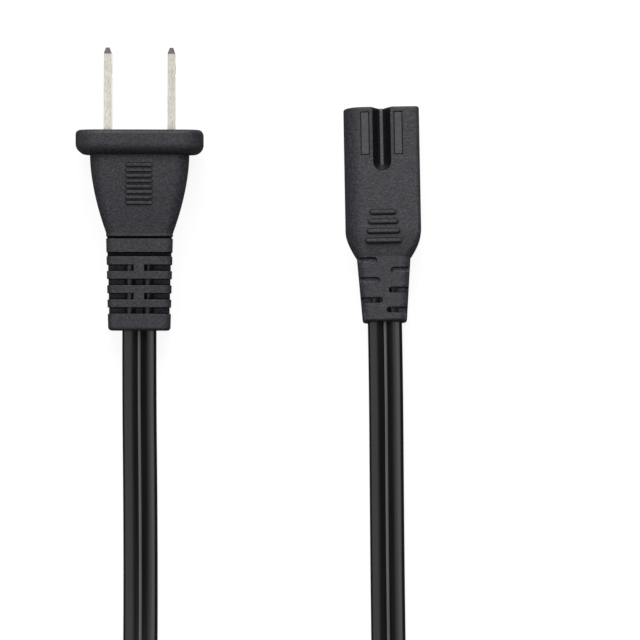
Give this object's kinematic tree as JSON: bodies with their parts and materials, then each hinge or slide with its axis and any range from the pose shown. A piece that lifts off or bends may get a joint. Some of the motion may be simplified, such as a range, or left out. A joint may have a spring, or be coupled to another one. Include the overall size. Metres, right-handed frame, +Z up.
{
  "type": "figure-eight power connector with cord and two-blade plug",
  "caption": "Polarised figure-eight mains connector with slotted strain relief, moulded on a flat cord that ends in a two-blade plug; feeds small appliances.",
  "frame": {"origin": "under the middle of the connector, on the surface that it lies on", "axes": "+Y along the connector towards its mating face, +X towards its squared side, +Z up from the broad face that it lies on"},
  "size_m": [0.0913, 0.2216, 0.0156],
  "materials": {
    "connector_pvc": "fine-grained soft PVC, charcoal black",
    "plug_pvc": "fine-grained soft PVC, charcoal black",
    "insert_plastic": "hard moulded plastic, dark grey",
    "contact_brass": "rolled brass strip",
    "conductor_copper": "bare stranded copper",
    "cord_pvc": "smooth extruded PVC, black",
    "tie_fabric": "woven hook-and-loop tape, black",
    "blade_nickel": "nickel-plated brass, lightly worn"
  },
  "bodies": {
    "root": {"connector_overmould": "connector_pvc", "connector_insert": "insert_plastic", "connector_contact_left": "contact_brass", "connector_contact_right": "contact_brass", "connector_conductor_left": "conductor_copper", "connector_conductor_right": "conductor_copper", "connector_cord_end": "cord_pvc", "cord_from_connector": "cord_pvc", "cord_coil": "cord_pvc", "cord_tie": "tie_fabric", "cord_to_plug": "cord_pvc", "plug_cord_end": "cord_pvc", "plug_conductor_left": "conductor_copper", "plug_conductor_right": "conductor_copper", "plug_blade_left": "blade_nickel", "plug_blade_right": "blade_nickel", "plug_blade_carrier": "insert_plastic", "plug_overmould": "plug_pvc"}
  },
  "joints": []
}
